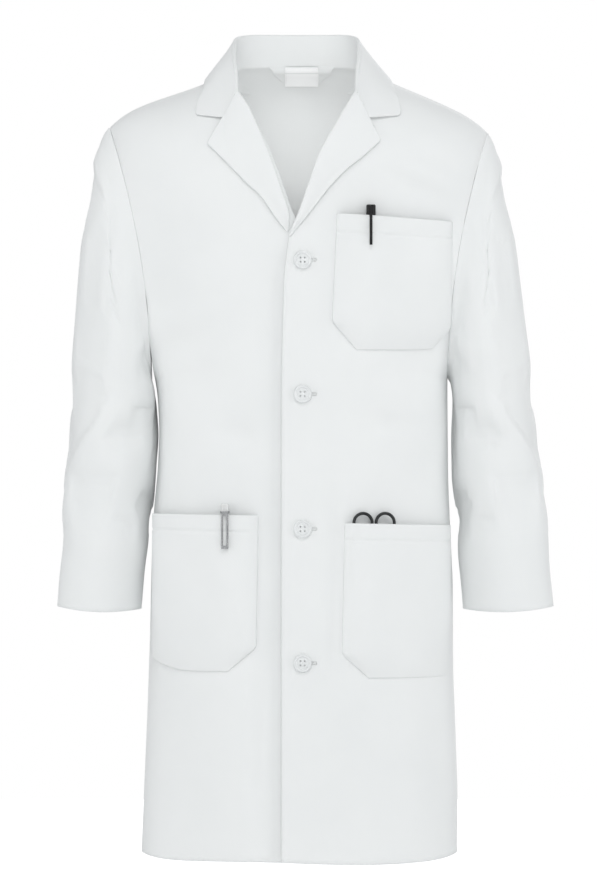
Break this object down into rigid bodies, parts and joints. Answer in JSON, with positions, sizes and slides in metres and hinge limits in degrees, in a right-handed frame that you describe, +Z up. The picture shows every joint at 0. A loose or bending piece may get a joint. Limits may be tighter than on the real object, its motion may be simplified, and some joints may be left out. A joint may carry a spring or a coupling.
{
  "type": "lab coat",
  "caption": "Knee-length white lab coat with notched lapels, button front, three patch pockets holding pens and scissors, and set-in sleeves.",
  "frame": {"origin": "middle of the back neck seam, where the coat is held up", "axes": "+Z up the coat, front facing -Y, +X towards the wearer's left sleeve"},
  "size_m": [0.6206, 0.25, 1.0044],
  "materials": {
    "outer_cloth": "white cotton and polyester twill, matt",
    "inner_cloth": "inside of the white twill, matt",
    "label_cloth": "woven satin label, blank",
    "thread": "white sewing thread",
    "button_plastic": "white moulded buttons, satin gloss",
    "black_plastic": "glossy black",
    "white_plastic": "glossy white",
    "clip_chrome": "polished spring steel clip",
    "scissors_coating": "dark grey non-glare coating",
    "screw_steel": "turned screw head"
  },
  "bodies": {
    "coat": {"left_front": "outer_cloth", "right_front": "outer_cloth", "left_sleeve_upper": "outer_cloth", "right_sleeve_upper": "outer_cloth", "left_facing": "inner_cloth", "right_facing": "inner_cloth", "back_left": "outer_cloth", "back_right": "outer_cloth", "back_neck_facing": "inner_cloth", "neck_label": "label_cloth", "back_hem": "inner_cloth", "collar_stand": "inner_cloth", "collar_fall": "outer_cloth", "chest_pocket": "outer_cloth", "chest_pocket_hem": "inner_cloth", "left_hip_pocket": "outer_cloth", "left_hip_pocket_hem": "inner_cloth", "right_hip_pocket": "outer_cloth", "right_hip_pocket_hem": "inner_cloth", "buttons": "button_plastic", "button_threads": "thread"},
    "left_corner": {"left_front_corner": "outer_cloth"},
    "left_lapel": {"left_lapel": "outer_cloth"},
    "right_lapel": {"right_lapel": "outer_cloth"},
    "left_arm": {"left_sleeve_lower": "outer_cloth", "left_cuff_hem": "inner_cloth"},
    "right_arm": {"right_sleeve_lower": "outer_cloth", "right_cuff_hem": "inner_cloth"},
    "black_pen": {"black_pen_barrel": "black_plastic", "black_pen_cap": "black_plastic"},
    "white_pen": {"white_pen_barrel": "white_plastic", "white_pen_clip": "clip_chrome"},
    "scissors": {"scissors_half_a": "scissors_coating", "scissors_screw": "screw_steel"},
    "scissors_half_b": {"scissors_half_b": "scissors_coating"}
  },
  "joints": [
    {"name": "left_sleeve_lift", "type": "hinge", "parent": "coat", "child": "left_arm", "pos_m": [0.277, 0, -0.342], "axis": [0, -1, 0], "range_deg": [0, 45]},
    {"name": "right_sleeve_lift", "type": "hinge", "parent": "coat", "child": "right_arm", "pos_m": [-0.277, 0, -0.342], "axis": [0, 1, 0], "range_deg": [0, 45]},
    {"name": "left_lapel_turn", "type": "hinge", "parent": "coat", "child": "left_lapel", "pos_m": [0.06339, -0.09195, -0.02848], "axis": [-0.411, -0.1276, -0.9026], "range_deg": [0, 65]},
    {"name": "right_lapel_turn", "type": "hinge", "parent": "coat", "child": "right_lapel", "pos_m": [-0.05847, -0.09352, -0.0362], "axis": [-0.3264, 0.1223, 0.9373], "range_deg": [0, 65]},
    {"name": "left_corner_swing", "type": "hinge", "parent": "coat", "child": "left_corner", "pos_m": [-0.02109, -0.12203, -0.73497], "axis": [-0.4971, -0.0524, 0.8661], "range_deg": [0, 35]},
    {"name": "black_pen_pull", "type": "slide", "parent": "coat", "child": "black_pen", "axis": [0, 0, 1], "range_m": [0, 0.14]},
    {"name": "white_pen_pull", "type": "slide", "parent": "coat", "child": "white_pen", "axis": [0, 0, 1], "range_m": [0, 0.14]},
    {"name": "scissors_pull", "type": "slide", "parent": "coat", "child": "scissors", "axis": [0, 0, 1], "range_m": [0, 0.15]},
    {"name": "scissors_open", "type": "hinge", "parent": "scissors", "child": "scissors_half_b", "pos_m": [0.09042, -0.11171, -0.61195], "axis": [-0.2478, 0.9688, 0], "range_deg": [0, 8]}
  ]
}
